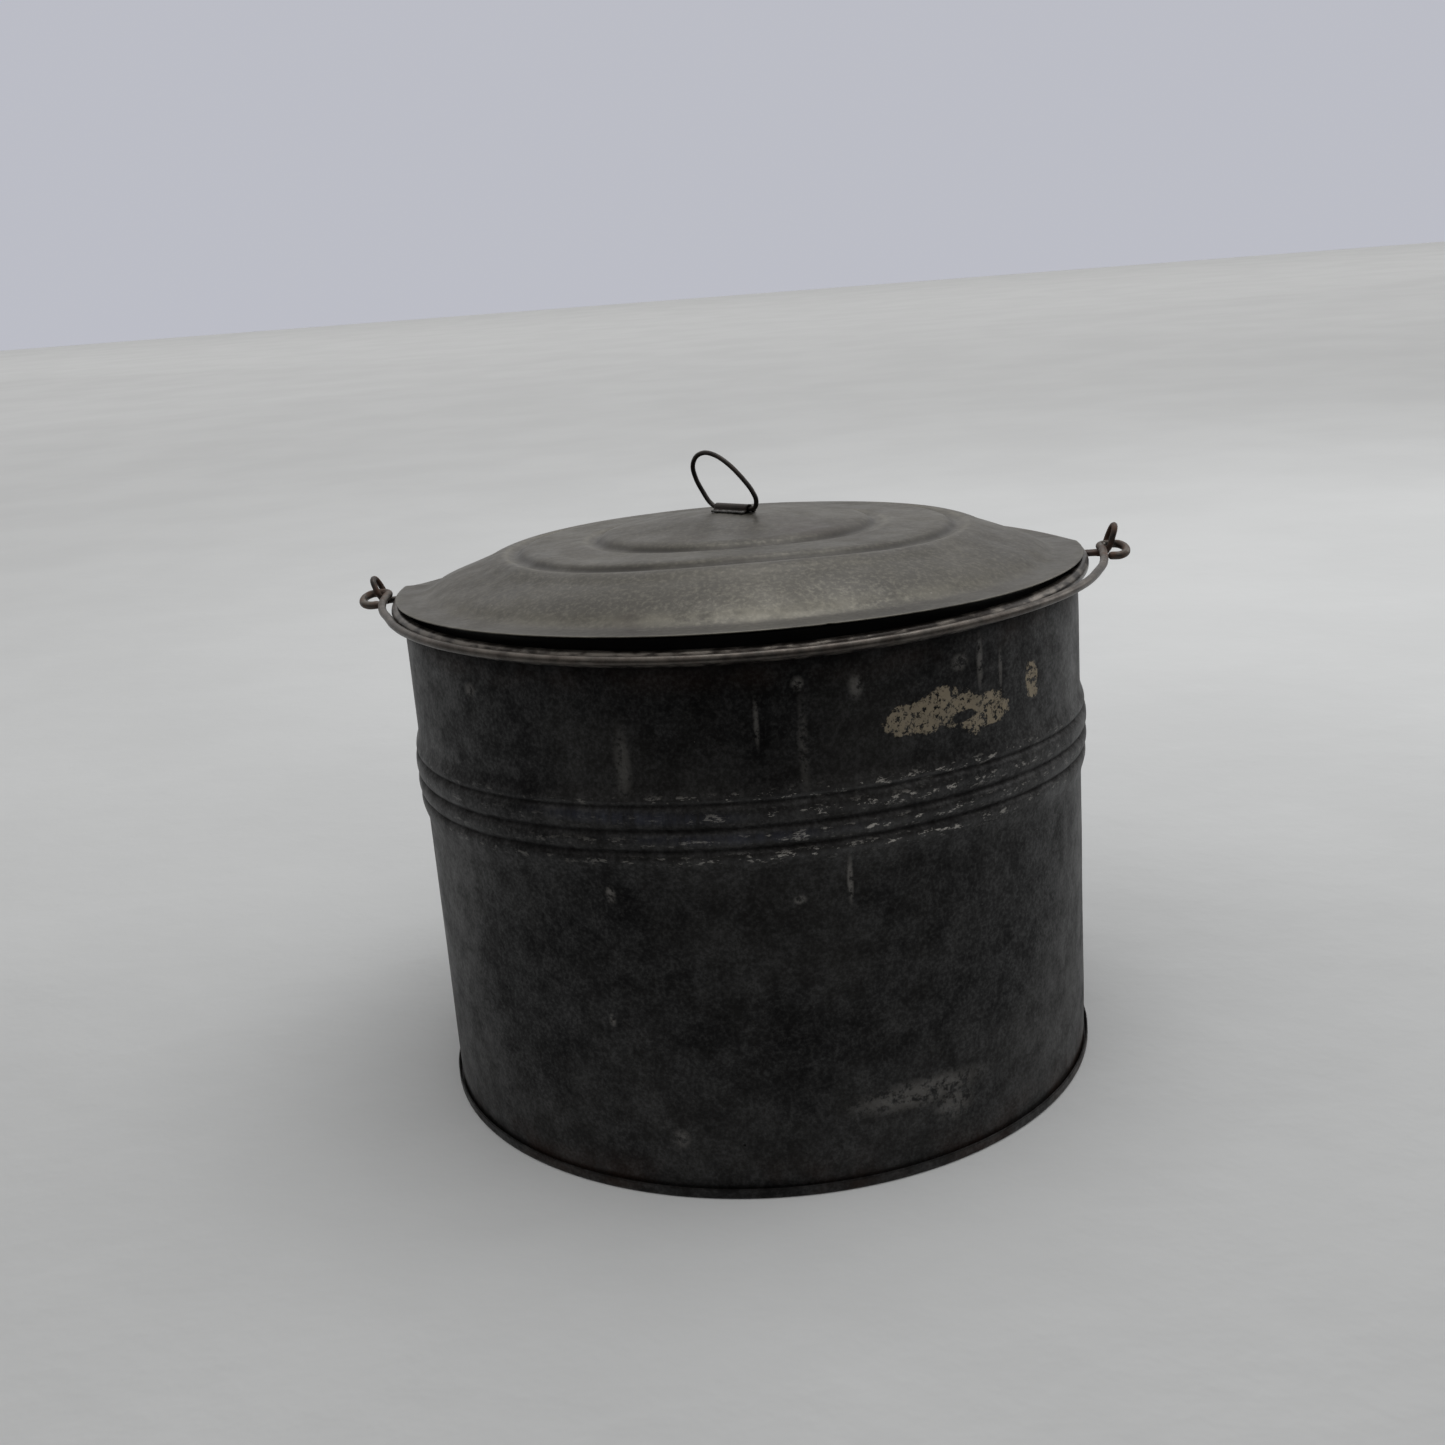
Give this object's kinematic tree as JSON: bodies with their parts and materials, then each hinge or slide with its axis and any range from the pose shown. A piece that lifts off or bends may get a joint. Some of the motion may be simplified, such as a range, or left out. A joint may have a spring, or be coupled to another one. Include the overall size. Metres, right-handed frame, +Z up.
{
  "type": "lidded tin pail",
  "caption": "Round tin pail with a wired rim and ribbed wall, a wire bail on wire ears, and a loose pressed lid with a ring handle.",
  "frame": {"origin": "on the floor under the middle of the pail's bottom", "axes": "+Z up, +X through the right ear along the bail's hinge line, -Y towards the front, where the bail lies folded"},
  "size_m": [0.2927, 0.2655, 0.2386],
  "materials": {
    "body_tin": "oxidised tinplate, satin, stained and scuffed",
    "rim_steel": "worn tinned steel wire",
    "lid_tin": "dull tarnished tinplate",
    "bail_wire": "worn steel wire",
    "dark_wire": "blackened steel wire and strap",
    "solder": "dull grey solder and folded seams"
  },
  "bodies": {
    "pail": {"body_front_sheet": "body_tin", "body_back_sheet": "body_tin", "seam_lock_right_lower": "solder", "seam_lock_right_upper": "solder", "seam_lock_left_lower": "solder", "seam_lock_left_upper": "solder", "rim_wire": "rim_steel", "bottom_disc": "body_tin", "bottom_solder": "solder", "ear_right": "dark_wire", "ear_left": "dark_wire", "ear_solder_right": "solder", "ear_solder_left": "solder"},
    "bail": {"bail": "bail_wire"},
    "lid": {"lid_cover": "lid_tin", "lid_collar": "lid_tin", "collar_solder": "solder", "ring_strap": "dark_wire", "strap_solder_front": "solder", "strap_solder_back": "solder"},
    "lid_ring": {"ring_handle": "dark_wire"}
  },
  "joints": [
    {"name": "bail_swing", "type": "hinge", "parent": "pail", "child": "bail", "pos_m": [0, 0, 0.193], "axis": [-1, 0, 0], "range_deg": [0, 180]},
    {"name": "lid_lift", "type": "slide", "parent": "pail", "child": "lid", "axis": [0, 0, 1], "range_m": [0, 0.08]},
    {"name": "ring_flap", "type": "hinge", "parent": "lid", "child": "lid_ring", "pos_m": [0, 0, 0.2164], "axis": [0.7314, -0.6817, 0.0205], "range_deg": [-98, 70]}
  ]
}
